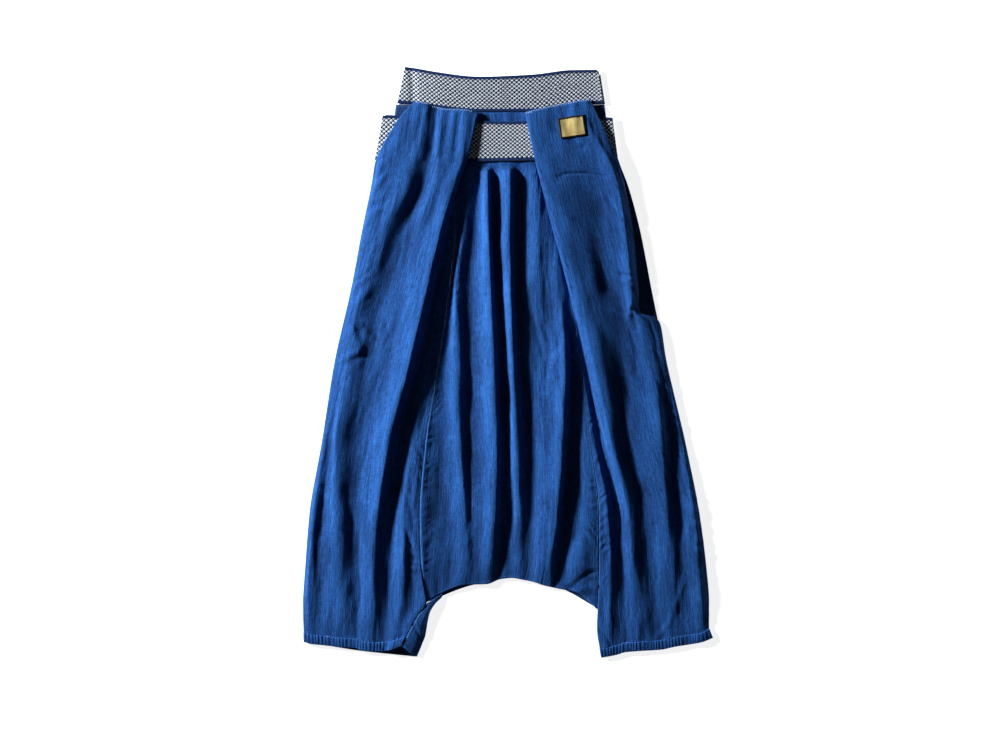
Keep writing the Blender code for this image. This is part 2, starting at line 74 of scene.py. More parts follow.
FRONT_LEFT = (
    Fold("side", 53, 876,
         (-142, -166, -202, -207, -221, -239, -264, -283, -302, -308, -312, -312, -311),
         (4.8, 8.3, 7.6, 3.2, 1.8, 1.8, 1.8, 1.8, 1.8, 1.8, 1.8, 1.8, 1.9)),
    Fold("side_roll", 54, 879,
         (-136, -156, -189, -200, -214, -232, -254, -277, -295, -301, -304, -303, -301),
         (6.0, 10.0, 11.5, 8.7, 6.5, 6.0, 6.2, 4.8, 5.6, 5.8, 5.4, 4.6, 2.3)),
    Fold("side_dip", 54.5, 881,
         (-132, -146, -172, -184, -203, -228, -249, -271, -284, -290, -288, -285, -283),
         (6.2, 11.2, 12.6, 11.0, 9.0, 7.4, 7.4, 4.6, 2.6, 2.4, 2.6, 2.6, 2.0)),
    Fold("outer_ridge", 55, 884,
         (-124, -132, -146, -154, -187, -223, -242, -261, -262, -259, -256, -255, -254),
         (6.4, 12.3, 14.2, 13.6, 11.5, 8.8, 8.8, 9.6, 9.6, 8.4, 6.6, 5.2, 2.5)),
    Fold("long_valley", 60, 886,
         (-112, -113, -118, -126, -157, -186, -212, -228, -230, -228, -228, -229, -230),
         (4.8, 9.0, 9.8, 7.2, 4.2, 3.2, 5.2, 2.4, 2.0, 2.0, 2.1, 2.2, 1.9)),
    Fold("shoulder", 64, 889,
         (-95, -99, -105, -111, -132, -158, -184, -206, -216, -219, -221, -222, -223),
         (6.4, 11.0, 13.2, 12.4, 10.6, 8.8, 8.6, 7.0, 6.0, 5.6, 4.8, 4.2, 2.3)),
    Fold("lip_top", 66, 890,
         (-61, -62, -73, -84, -102, -125, -150, -181, -199, -205, -208, -209, -210),
         (8.5, 11.6, 14.3, 15.7, 16.9, 18.1, 18.7, 17.1, 13.6, 11.0, 8.0, 6.6, 3.1)),
    Fold("lip", 72, 891,
         (-46, -48, -64, -75, -95, -118, -143, -172, -189, -196, -198, -199, -200),
         (7.5, 10.6, 11.9, 11.2, 12.3, 12.7, 12.7, 10.6, 7.7, 6.8, 5.6, 4.8, 2.5)),
    Fold("under", 73, 890,
         (-53, -55, -73, -79, -89, -108, -130, -160, -176, -181, -183, -184, -188),
         (6.7, 9.8, 9.8, 7.2, 4.6, 2.4, 2.1, 2.1, 2.1, 2.1, 2.3, 2.3, 2.3)),
    Fold("strip_ridge", 73, 888,
         (-66, -68, -79, -80.5, -85, -101, -122, -142, -157, -160, -162, -166, -177),
         (6.7, 9.7, 9.7, 6.6, 3.8, 2.6, 4.2, 7.2, 10.0, 9.2, 8.2, 7.4, 6.1)),
    Fold("strip_dip", 73, 885,
         (-73, -74, -81, -81.5, -83, -95, -113, -134, -146, -148, -146, -154, -171),
         (6.7, 9.7, 9.7, 6.2, 3.4, 2.4, 3.0, 6.8, 8.5, 5.8, 6.1, 6.4, 6.5)),
    Fold("seam", 73, 882,
         (-81, -82, -84, -82.5, -81, -90, -106, -126, -135, -133, -124, -138, -163),
         (6.7, 9.7, 9.7, 5.9, 3.2, 2.3, 2.6, 6.1, 7.8, 7.0, 6.8, 6.8, 6.9)),
)

#                belt  foot  hip  seat  pocket  slit  slit_end  thigh  knee  calf  low  ankle  cuff
RIGHT_LEVELS = (80, 147, 178, 245, 340, 372, 388, 450, 570, 680, 755, 815, 855)

FRONT_RIGHT = (
    Fold("seam", 69, 900,
         (57, 58, 58, 62, 76, 94, 99, 101.5, 111, 126, 139, 139, 137, 135.5, 142),
         (6.7, 9.7, 9.7, 8.2, 8.2, 6.0, 4.6, 4.0, 4.2, 6.9, 7.2, 6.6, 4.8, 3.4, 2.1)),
    Fold("strip_ridge", 69, 898,
         (53, 54, 56.5, 61, 75, 94.5, 100, 103, 113, 131, 151, 155, 154, 153, 154),
         (6.7, 9.7, 9.7, 8.5, 8.5, 6.5, 4.8, 4.0, 3.8, 7.2, 8.8, 8.4, 6.8, 4.8, 2.3)),
    Fold("crevice", 69, 895,
         (49, 50, 55, 60, 74, 95, 101, 104.5, 116, 140, 163, 167, 168, 169, 168),
         (6.7, 9.7, 9.7, 8.8, 8.9, 7.2, 5.4, 4.2, 2.4, 2.1, 2.1, 2.1, 2.1, 2.1, 1.9)),
    Fold("lip_base", 69, 892,
         (40, 41, 50, 56, 71, 95.8, 102, 106.5, 119, 146, 170, 175, 177, 178, 177),
         (6.8, 9.8, 9.9, 9.6, 10.0, 9.0, 7.4, 6.2, 4.0, 3.7, 3.0, 2.8, 2.6, 2.4, 2.1)),
    Fold("lip", 70, 891,
         (27, 29, 43, 51, 68, 93.5, 102, 107, 122, 150, 175, 181, 184, 186, 186),
         (7.5, 10.6, 11.9, 12.2, 13.0, 12.0, 11.0, 10.0, 9.2, 8.6, 6.5, 5.6, 4.4, 3.5, 2.5)),
    Fold("lip_top", 67, 890,
         (38, 39, 52, 61, 78, 105, 112.5, 117, 132, 158, 184, 190, 194, 197, 198),
         (8.5, 11.6, 14.1, 15.0, 15.9, 16.4, 16.2, 16.2, 16.1, 13.6, 10.2, 8.6, 6.2, 4.4, 2.7)),
    Fold("hollow", 59, 888,
         (73, 81, 128, 134, 150, 168, 174, 176, 180, 182, 207, 213, 220, 229, 232),
         (6.6, 9.5, 9.9, 8.6, 7.4, 6.4, 6.2, 6.0, 5.8, 5.4, 3.6, 2.9, 2.5, 2.3, 1.9)),
    Fold("main_ridge", 53, 883,
         (104, 115, 154, 166, 177, 187, 190, 204, 222, 232, 240, 246, 251, 254, 256),
         (7.1, 10.9, 12.8, 12.2, 12.6, 12.8, 11.6, 10.0, 9.6, 12.6, 10.4, 8.2, 5.4, 4.0, 2.7)),
    Fold("outer_dip", 51, 880,
         (113, 124, 160, 171, 182.5, 192.5, 194.5, 215, 233, 249, 262, 267, 272, 274, 276),
         (6.7, 9.8, 11.0, 9.6, 9.5, 9.5, 8.0, 7.4, 6.6, 3.8, 2.8, 2.8, 2.8, 2.5, 2.1)),
    Fold("outer_ridge", 51, 876,
         (119, 131, 164, 174, 186, 196, 197.5, 223, 238, 264, 283, 289, 293, 294.5, 296),
         (6.5, 9.2, 10.0, 7.6, 6.5, 6.5, 5.5, 5.6, 5.2, 5.0, 7.4, 8.8, 7.6, 5.4, 3.3)),
    Fold("side", 50, 870,
         (124, 139, 168, 176, 189, 198, 200, 229.5, 241, 269, 291, 301, 306, 306, 312),
         (4.8, 8.3, 8.0, 4.6, 3.0, 3.0, 2.6, 1.8, 1.8, 1.8, 1.8, 1.8, 1.8, 1.8, 1.9)),
)

#                 belt  foot  hip  seat  pocket  thigh  knee  calf  low
CENTRE_LEVELS = (80, 147, 170, 245, 340, 450, 570, 680, 755)

FRONT_CENTRE = (
    Fold("seam_left", 70, 815,
         (-81, -82, -84, -82.5, -81, -90, -106, -126, -135, -133, -123.6),
         (3.2, 3.9, 3.9, 2.1, 2.0, 2.1, 2.5, 6.0, 7.6, 6.8, 5.1)),
    Fold("left_valley", 70, 802,
         (-73, -74, -76, -76, -75, -86, -99, -102, -97, -94, -100),
         (3.2, 3.9, 3.9, 1.9, 1.8, 1.8, 1.9, 1.9, 1.9, 1.9, 2.7)),
    Fold("low_ridge", 70, 790,
         (-61, -60, -58, -58, -66, -79, -79, -74, -66, -63, -67),
         (3.3, 4.0, 4.3, 5.6, 5.6, 6.8, 8.8, 9.0, 8.0, 6.8, 3.3)),
    Fold("low_valley", 70, 789,
         (-50, -49, -46, -46, -52, -58, -58, -58, -55, -52, -53),
         (3.2, 3.9, 3.9, 2.1, 2.0, 2.0, 2.0, 2.9, 5.0, 5.5, 2.9)),
    Fold("long_ridge", 70, 788,
         (-40, -38, -34, -31, -30, -27, -22, -18, -21, -27, -32),
         (3.3, 4.0, 4.3, 12.7, 15.0, 15.7, 15.7, 14.9, 13.3, 9.8, 4.1)),
    Fold("mid_valley", 70, 781,
         (-23, -22, -21, -22, -22, -16, -9, -6, -3, -7, -12),
         (3.2, 3.9, 3.9, 1.9, 1.8, 1.8, 1.8, 1.8, 1.8, 1.8, 1.8)),
    Fold("mid_ridge", 70, 779,
         (-6, -4, 0, 2, 2, 4, 7, 12, 16, 12, 6),
         (3.3, 4.0, 4.3, 13.2, 14.3, 14.7, 12.8, 10.5, 7.6, 4.7, 2.9)),
    Fold("wide_valley", 70, 782,
         (11, 12, 15, 15, 14, 15, 23, 34, 34, 28, 24),
         (3.2, 3.9, 3.9, 1.9, 1.8, 1.8, 1.8, 1.9, 2.3, 3.0, 2.3)),
    Fold("high_ridge", 70, 786,
         (29, 31, 38, 42, 48, 45, 46, 50, 50, 45, 43),
         (3.3, 4.0, 4.3, 7.8, 9.0, 8.6, 4.0, 6.0, 7.6, 7.0, 3.3)),
    Fold("slope", 70, 789,
         (38, 40, 45, 48, 58, 58, 60, 64, 60, 54, 51),
         (3.2, 3.9, 3.9, 6.2, 7.4, 6.6, 5.6, 9.4, 10.4, 8.6, 3.5)),
    Fold("right_ridge", 70, 792,
         (44, 46, 50, 53, 67, 76, 86, 82, 74, 65, 63),
         (3.2, 3.9, 3.9, 5.5, 6.0, 8.4, 13.6, 14.8, 13.0, 9.4, 3.5)),
    Fold("right_valley", 70, 795,
         (49, 51, 53, 57, 71, 88, 98, 97, 89, 77, 75),
         (3.2, 3.9, 3.9, 5.1, 5.4, 5.6, 2.4, 1.9, 1.9, 1.9, 1.9)),
    Fold("seam_ridge", 70, 801,
         (53, 54, 56, 59.3, 74, 91, 106, 119, 123, 109, 105),
         (3.2, 3.9, 3.9, 5.0, 5.0, 4.8, 3.3, 6.4, 7.7, 7.5, 3.1)),
    Fold("seam_right", 70, 827,
         (57, 58, 58, 61, 76, 94, 111, 126, 139, 139, 136),
         (3.2, 3.9, 3.9, 5.0, 4.8, 4.5, 3.6, 6.6, 6.9, 6.2, 3.7)),
)

# The back panels lie flat, and step up over the rear half of the belt
BACK_TOP = 0.0
BACK_BELT = 2.1


def back_heights(count):
    """One height at the top edge, the belt and its foot, then the floor itself."""
    return (BACK_TOP, BACK_BELT, BACK_BELT) + (0.0,) * (count - 3)


BACK_LEFT = (
    Fold("side", 57.4, 876,
         (-171, -174, -203, -208, -221, -239, -264, -283, -302, -308, -312, -312, -311), back_heights(13)),
    Fold("middle", 59.0, 890,
         (-121, -126, -143, -145, -151, -164, -185, -204, -218, -221, -218, -220, -226), back_heights(13)),
    Fold("seam", 60.0, 899,
         (-72, -77, -84, -82.5, -81, -90, -106, -126, -135, -133, -124, -127, -141), back_heights(13)),
)

BACK_RIGHT = (
    Fold("seam", 60.1, 900,
         (58, 58, 58, 62, 76, 94, 99, 101.5, 111, 126, 139, 139, 137, 135.5, 142), back_heights(15)),
    Fold("middle", 59.4, 884,
         (102, 104, 114, 122, 138, 157, 161.5, 164, 176, 198, 215, 220, 221, 221, 223), back_heights(15)),
    Fold("side", 57.5, 870,
         (147, 150, 170, 182, 200.5, 219, 225.5, 229, 241, 270, 291, 301, 306, 306, 312), back_heights(15)),
)

BACK_CENTRE = (
    Fold("seam_left", 60.0, 816,
         (-72, -77, -84, -82.5, -81, -90, -106, -126, -135, -133, -123), back_heights(11)),
    Fold("left", 60.4, 791,
         (-38, -41, -45, -43, -38, -40, -47, -57, -61, -60, -58), back_heights(11)),
    Fold("middle", 60.4, 779,
         (-8, -10, -13, -10, -3, 2, 3, 0, 2, 3, 5), back_heights(11)),
    Fold("right", 60.4, 790,
         (25, 24, 22, 26, 36, 48, 57, 63, 70, 71, 68), back_heights(11)),
    Fold("seam_right", 60.1, 825,
         (58, 58, 58, 62, 76, 94, 111, 126, 139, 139, 136), back_heights(11)),
)

# The back of the left leg rolls round to the front below the crotch
TURN_LEVELS = (807.3, 817, 832, 846, 865)
TURN_LEFT = (
    Fold("seam", 804, 882, (-102, -108, -122, -134, -143.5, -152, -162), (2.4, 4.0, 6.2, 6.6, 6.8, 6.9, 6.9)),
    Fold("fold", 803, 891, (-100.5, -104, -114, -124, -131, -138, -151), (2.1, 3.0, 5.2, 5.9, 6.1, 6.2, 6.0)),
    Fold("edge", 802, 899, (-99, -101, -111, -120, -123, -126, -139), (1.8, 1.8, 1.8, 1.8, 1.8, 1.8, 1.8)),
)

# Bands: a row for each place across them
WAISTBAND_FRONT = (
    Station(-157, 0.0, -169, 56.0, 2.6),
    Station(-145, 1.5, -151, 57.0, 2.7),
    Station(-108, 8.0, -112, 62.0, 2.8),
    Station(-43, 15.0, -44, 68.5, 2.8),
    Station(34, 12.0, 36, 68.5, 2.8),
    Station(95, 5.0, 99, 60.0, 2.8),
    Station(134, 4.5, 139, 56.0, 2.7),
    Station(138, 8.0, 146, 57.0, 2.6),
)
WAISTBAND_BACK = (
    Station(-153, 3.0, -167, 57.0, 0.0),
    Station(-108, 10.0, -110, 59.0, 0.0),
    Station(-43, 17.0, -42, 60.0, 0.0),
    Station(34, 14.0, 36, 60.0, 0.0),
    Station(95, 9.0, 99, 59.0, 0.0),
    Station(141, 12.0, 148, 57.0, 0.0),
)
BELT_FRONT = (
    Station(-191, 75, -203, 142, 4.0),
    Station(-182, 73.5, -192, 143, 4.1),
    Station(-150, 76, -158, 144, 4.4),
    Station(-95, 79, -99, 145, 5.4),
    Station(-66, 81, -66, 145, 6.0),
    Station(0, 84, 0, 144, 6.1),
    Station(44, 82, 45, 143, 6.0),
    Station(80, 79, 84, 142, 5.4),
    Station(130, 76, 140, 140, 4.4),
    Station(159, 78, 167, 138, 4.0),
)
BELT_BACK = tuple(row._replace(top_drop=row.top_drop + 6, height=0.0) for row in BELT_FRONT)

# The patch: its middle, as across and drop, and its tilt
PATCH_MIDDLE = (97.5, 92.5)
PATCH_TILT = math.radians(8.5)

# Small creases: how far each stands up or sinks, its half width, and its points (across, drop)
LEFT_CREASES = (
    Crease(-1.2, 3.5, ((-131, 62), (-134, 88), (-139, 112))),
    Crease(0.9, 3.0, ((-122, 64), (-124, 100), (-131, 140))),
    Crease(-1.4, 4.0, ((-110, 66), (-111, 96), (-116, 128))),
    Crease(-1.1, 3.5, ((-91, 70), (-94, 100), (-101, 138))),
    Crease(0.9, 3.0, ((-82, 72), (-85, 104), (-90, 150))),
    Crease(-1.2, 3.5, ((-74, 74), (-77, 98), (-80, 128))),
    Crease(-0.9, 4.0, ((-95, 150), (-104, 190), (-118, 240))),
    Crease(1.1, 5.0, ((-236, 396), (-231.8, 413), (-225.7, 426), (-228, 435), (-241, 440), (-252, 447))),
    Crease(-1.2, 5.0, ((-228, 402), (-223, 415), (-218, 428), (-222, 441), (-238, 448))),
    Crease(-1.4, 4.0, ((-216, 396), (-204, 404), (-197, 416))),
    Crease(1.0, 4.0, ((-208, 414), (-196, 424), (-182, 428))),
    Crease(-1.2, 4.0, ((-186, 396), (-180, 410), (-186, 424))),
    Crease(-0.8, 5.0, ((-152, 430), (-140, 442), (-132, 452))),
    Crease(-0.8, 4.0, ((-246, 640), (-240, 700), (-237, 760))),
    Crease(-0.9, 4.0, ((-280, 640), (-284, 720), (-285, 800))),
    Crease(-0.8, 4.0, ((-228, 800), (-232, 840), (-231, 872))),
    Crease(-0.7, 3.5, ((-160, 640), (-150, 668), (-143, 700))),
    Crease(-0.7, 3.5, ((-158, 700), (-149, 724), (-143, 752))),
)
RIGHT_CREASES = (
    Crease(-1.6, 2.6, ((100, 113), (103, 126), (106, 139))),
    Crease(-1.6, 2.8, ((114, 121), (117, 140), (120, 162))),
    Crease(-0.8, 3.0, ((88, 118), (90, 140), (91, 158))),
    Crease(-1.8, 1.8, ((66, 180), (73, 170), (88, 163), (118, 162.5), (150, 167))),
    Crease(-1.0, 2.6, ((66, 86), (72, 96), (80, 104))),
    Crease(-1.1, 3.0, ((150, 200), (166, 222), (178, 236))),
    Crease(-1.8, 2.6, ((172, 316), (186, 319), (198, 314))),
    Crease(1.2, 3.0, ((176, 326), (190, 332), (200, 326))),
    Crease(-1.6, 2.6, ((186, 330), (194, 352), (190, 372), (196, 398))),
    Crease(1.2, 2.6, ((180, 340), (186, 362), (183, 384))),
    Crease(-1.4, 3.0, ((204, 352), (196, 366), (184, 372))),
    Crease(1.2, 3.0, ((160, 372), (178, 378), (196, 388))),
    Crease(-0.9, 3.0, ((186, 404), (196, 430), (194, 470))),
    Crease(-0.9, 3.5, ((131, 250), (140, 300), (146, 340))),
    Crease(0.8, 4.0, ((150, 236), (160, 290), (166, 330))),
    Crease(-0.8, 4.0, ((252, 560), (270, 640), (282, 720))),
    Crease(1.0, 4.5, ((274, 704), (270, 780), (244, 850), (226, 872))),
    Crease(-0.8, 4.0, ((222, 700), (226, 780), (222, 840))),
    Crease(-1.0, 2.6, ((140, 858), (150, 868), (158, 884))),
    Crease(0.9, 2.6, ((139, 870), (148, 880), (156, 892))),
)
CENTRE_CREASES = (
    Crease(-1.2, 4.0, ((54, 395), (64, 425), (61, 470))),
    Crease(-1.2, 5.0, ((36, 380), (46, 412), (54, 440))),
    Crease(1.0, 5.0, ((76, 430), (66, 460), (62, 500))),
    Crease(-1.0, 5.0, ((84, 396), (80, 420), (70, 438))),
    Crease(-1.6, 3.5, ((92, 797), (112, 778), (134, 768))),
    Crease(1.3, 3.5, ((98, 804), (120, 792), (138, 792))),
    Crease(-1.3, 3.0, ((112, 812), (126, 806), (136, 802))),
    Crease(-0.8, 4.0, ((-60, 560), (-62, 620), (-56, 690))),
    Crease(-0.7, 4.0, ((-38, 640), (-40, 700), (-44, 760))),
    Crease(-0.7, 4.0, ((100, 600), (112, 660), (104, 720))),
)
TURN_CREASES = (
    Crease(-0.9, 1.6, ((-145, 849), (-138, 861), (-133, 874), (-131, 884))),
    Crease(0.6, 1.6, ((-140, 846), (-133, 858), (-128, 870))),
)
WAISTBAND_CREASES = (
    Crease(-1.2, 6.0, ((-147, 3), (-145, 30), (-144, 58))),
)

# Rows of puckers along a seam, and gathers at the gusset's top and foot
LEFT_PUCKERS = (
    Pucker(-1, 560, 790, 14.0, 0.6, 7.0),
    Pucker(0, 120, 380, 26.0, 0.5, 9.0),
)
RIGHT_PUCKERS = (
    Pucker(0, 420, 800, 15.0, 0.4, 5.0),
    Pucker(-1, 420, 860, 22.0, 0.5, 8.0),
)
CENTRE_PUCKERS = (
    Pucker(0, 300, 790, 14.0, 0.4, 6.0),
    Pucker(-1, 600, 820, 14.0, 0.7, 9.0),
)
GATHER_PITCH = 5.4

# Where the seam threads come out from under the panels' lips, as drops
LEFT_SEAM_SHOWS = 250.0
RIGHT_SEAM_SHOWS = 330.0

# Colours as linear red, green and blue
INDIGO_DEEP = (0.005, 0.030, 0.120)
INDIGO = (0.012, 0.078, 0.290)
INDIGO_PALE = (0.030, 0.165, 0.540)
REVERSE_DEEP = (0.012, 0.045, 0.140)
REVERSE_PALE = (0.045, 0.140, 0.380)
NAVY = (0.006, 0.014, 0.042)
ROYAL = (0.014, 0.045, 0.170)
WHITE_YARN = (0.92, 0.95, 1.00)
GREY_YARN = (0.50, 0.55, 0.62)
THREAD = (0.50, 0.62, 0.78)
THREAD_PALE = (0.17, 0.30, 0.52)
THREAD_BLUE = (0.060, 0.200, 0.520)
GOLD_DEEP = (0.42, 0.28, 0.07)
GOLD = (0.83, 0.66, 0.28)
BLACK_THREAD = (0.008, 0.008, 0.010)


def slopes(keys, values):
    """Slopes of a curve through the values that never overshoots them."""
    step = np.diff(keys)
    rise = np.diff(values, axis=0) / step[:, None]
    slope = np.zeros_like(values)
    slope[0], slope[-1] = rise[0], rise[-1]
    for i in range(1, len(keys) - 1):
        before, after = rise[i - 1], rise[i]
        same_way = before * after > 0
        left, right = 2 * step[i] + step[i - 1], step[i] + 2 * step[i - 1]
        safe_before = np.where(same_way, before, 1.0)
        safe_after = np.where(same_way, after, 1.0)
        mean = (left + right) / (left / safe_before + right / safe_after)
        slope[i] = np.where(same_way, mean, 0.0)
    return slope


def smooth(keys, values, at):
    """Values of that curve at the places asked for."""
    keys = np.asarray(keys, float)
    values = np.asarray(values, float)
    slope = slopes(keys, values)
    at = np.asarray(at, float)
    i = np.clip(np.searchsorted(keys, at, side="right") - 1, 0, len(keys) - 2)
    step = (keys[i + 1] - keys[i])[:, None]
    t = ((at - keys[i]) / (keys[i + 1] - keys[i]))[:, None]
    start = (2 * t**3 - 3 * t**2 + 1) * values[i] + (t**3 - 2 * t**2 + t) * step * slope[i]
    return start + (-2 * t**3 + 3 * t**2) * values[i + 1] + (t**3 - t**2) * step * slope[i + 1]


def step_up(value, low, high):
    """0 below low, 1 above high, and a soft step between them."""
    t = np.clip((value - low) / (high - low), 0.0, 1.0)
    return t * t * (3 - 2 * t)


def between(count, parts):
    """Evenly spaced places over a number of intervals, the ends of each among them."""
    return np.linspace(0, count - 1, (count - 1) * parts + 1)


def even_rows(folds, levels, spacing):
    """Places down the folds, about one spacing apart."""
    top = np.mean([fold.top for fold in folds])
    bottom = np.mean([fold.bottom for fold in folds])
    drops = np.array([top, *levels, bottom])
    count = round((bottom - top) / spacing) + 1
    return np.interp(np.linspace(top, bottom, count), drops, np.arange(len(drops)))


def fold_keys(fold, levels, trim):
    """A fold's points (across, drop, height), its last one moved up along the fold by the trim."""
    keys = np.column_stack([fold.across, (fold.top, *levels, fold.bottom), fold.height])
    if trim:
        last = len(keys) - 1
        tail = smooth(np.arange(len(keys)), keys, np.linspace(last - 1, last, 41))
        keys[-1] = [np.interp(fold.bottom - trim, tail[:, 1], tail[:, axis]) for axis in range(3)]
    return keys


def fold_lines(folds, levels, at, trim=0.0):
    """Points of each fold at each row, from the waist down."""
    lines = []
    for fold in folds:
        keys = fold_keys(fold, levels, trim)
        lines.append(smooth(np.arange(len(keys)), keys, at))
    return np.array(lines)


def cross_section(points, columns):
    """A smooth line through one row of fold points, which may hang over itself."""
    chord = np.hypot(np.diff(points[:, 0]), np.diff(points[:, 2]))
    along = np.concatenate([[0.0], np.cumsum(np.maximum(chord, 0.5))])
    at = np.interp(between(len(points), columns), np.arange(len(points)), along)
    return smooth(along, points, at)


def panel_grid(folds, levels, columns, spacing=2.2, trim=0.0):
    """Points of a panel's inner face, in rows from the waist down."""
    lines = fold_lines(folds, levels, even_rows(folds, levels, spacing), trim)
    return np.array([cross_section(lines[:, row], columns) for row in range(lines.shape[1])])


def follow(grid, edge, seam, gap=SEAM_GAP, below=0.0):
    """Lays one long edge of a panel along its neighbour's seam line, a gap away from it."""
    drops = grid[:, edge, 1]
    beside = np.interp(drops, seam[:, 1], seam[:, 0]) + (gap if edge == 0 else -gap)
    grid[:, edge, 0] = np.where(drops > below, beside, grid[:, edge, 0])
    return grid


def casing_grid(folds, levels, columns_per_pucker, rows, rise):
    """The gathered casing below a leg panel, from the panel's own lower end."""
    top = np.array([fold_keys(fold, levels, CASING)[-1] for fold in folds])
    foot = np.array([fold_keys(fold, levels, 0.0)[-1] for fold in folds])
    puckers = round(abs(foot[-1, 0] - foot[0, 0]) / PUCKER)
    fine = np.linspace(0, 1, puckers * columns_per_pucker + 1)
    along = np.concatenate([[0.0], np.cumsum(np.abs(np.diff(top[:, 0])))])
    top = smooth(along / along[-1], top, fine)
    foot = smooth(along / along[-1], foot, fine)
    uneven = wander(PUCKER * puckers * fine, fine, 11, 1, 2.5)
    wave = rise * (0.5 - 0.5 * np.cos(2 * math.pi * (puckers * fine + 0.8 * uneven))) * (0.8 + uneven)
    grid = []
    for down in np.linspace(0, 1, rows + 1):
        row = top + (foot - top) * down
        row[:, 2] += wave * (1.0 - 0.4 * down) + rise * math.sin(math.pi * down) ** 0.7
        grid.append(row)
    return np.array(grid)


def band_grid(stations, columns, rows):
    """A band between its top and foot edges."""
    table = np.array(stations, float)
    edges = smooth(np.arange(len(table)), table, between(len(table), columns))
    grid = []
    for down in np.linspace(0, 1, rows + 1):
        across = edges[:, 0] + (edges[:, 2] - edges[:, 0]) * down
        drop = edges[:, 1] + (edges[:, 3] - edges[:, 1]) * down
        grid.append(np.column_stack([across, drop, edges[:, 4]]))
    return np.array(grid)


def cloth_places(grid):
    """Distance across and along the cloth of each grid point, from the middle of its top edge."""
    steps = np.linalg.norm(np.diff(grid, axis=1), axis=2)
    across = np.concatenate([np.zeros((len(grid), 1)), np.cumsum(steps, axis=1)], axis=1)
    middle = grid.shape[1] // 2
    down = np.linalg.norm(np.diff(grid[:, middle], axis=0), axis=1)
    along = np.concatenate([[0.0], np.cumsum(down)])
    return across - across[:, middle:middle + 1], np.repeat(along[:, None], grid.shape[1], axis=1)


def from_sides(across):
    """Distance of each point from the nearer side edge."""
    return np.minimum(across - across[:, :1], across[:, -1:] - across)


def wander(across, along, width, length, seed):
    """Soft irregular waves, between about -0.5 and 0.5."""
    points = zip((across / width).ravel(), (along / length).ravel())
    values = [noise.noise(Vector((x, y, seed))) for x, y in points]
    return np.array(values).reshape(across.shape)


def near(grid, points):
    """Distance of each grid point from a line of points (across, drop), seen from above."""
    nearest = np.full(grid.shape[:2], np.inf)
    for start, end in zip(np.array(points[:-1], float), np.array(points[1:], float)):
        line = end - start
        place = grid[:, :, :2] - start
        t = np.clip(place @ line / (line @ line), 0.0, 1.0)
        nearest = np.minimum(nearest, np.linalg.norm(place - t[:, :, None] * line, axis=2))
    return nearest


def wrinkle(grid, seed, creases=(), puckers=(), crumple=1.1):
    """Adds a panel's small creases, puckers and crumple to its height, over its main folds."""
    across, along = cloth_places(grid)
    sides = from_sides(across)
    rise = crumple * wander(across, along, 13, 75, seed)
    rise += 0.5 * crumple * wander(across, along, 5.5, 30, seed + 7)
    rise += 1.2 * crumple * wander(across, along, 24, 46, seed + 3)
    rise *= step_up(sides, 0, 9)
    for crease in creases:
        rise += crease.rise * np.exp(-(near(grid, crease.points) / crease.width) ** 2)
    for row in puckers:
        side = across - across[:, :1] if row.edge == 0 else across[:, -1:] - across
        drop = grid[:, :, 1]
        reach = side / row.reach
        uneven = wander(drop, side, 26, 26, seed)
        wave = np.sin(2 * math.pi * (drop + 0.8 * side + 16 * uneven) / row.pitch) * (0.7 + 1.4 * uneven)
        ends = step_up(drop, row.start, row.start + 25) * (1 - step_up(drop, row.end - 25, row.end))
        rise += row.rise * wave * reach * np.exp(1 - reach) * ends * (side < 4 * row.reach)
    height = grid[:, :, 2]
    lowest = np.minimum(height, LOWEST)
    grid[:, :, 2] = np.maximum(height + rise, lowest)
    return grid


def wear_and_painted_shade(grid):
    """How far each point stands proud of the cloth round it, from 0 in a hollow to 1 on a crest; the denim takes
    it as wear that pales the crests and as painted shade that darkens the hollows.
    """
    height = grid[:, :, 2]
    reach = max(3, grid.shape[1] // 14)
    window = np.ones(2 * reach + 1) / (2 * reach + 1)
    padded = np.pad(height, ((0, 0), (reach, reach)), mode="edge")
    level = np.array([np.convolve(row, window, mode="valid") for row in padded])
    return np.clip(0.5 + (height - level) / 6.0, 0.0, 1.0)


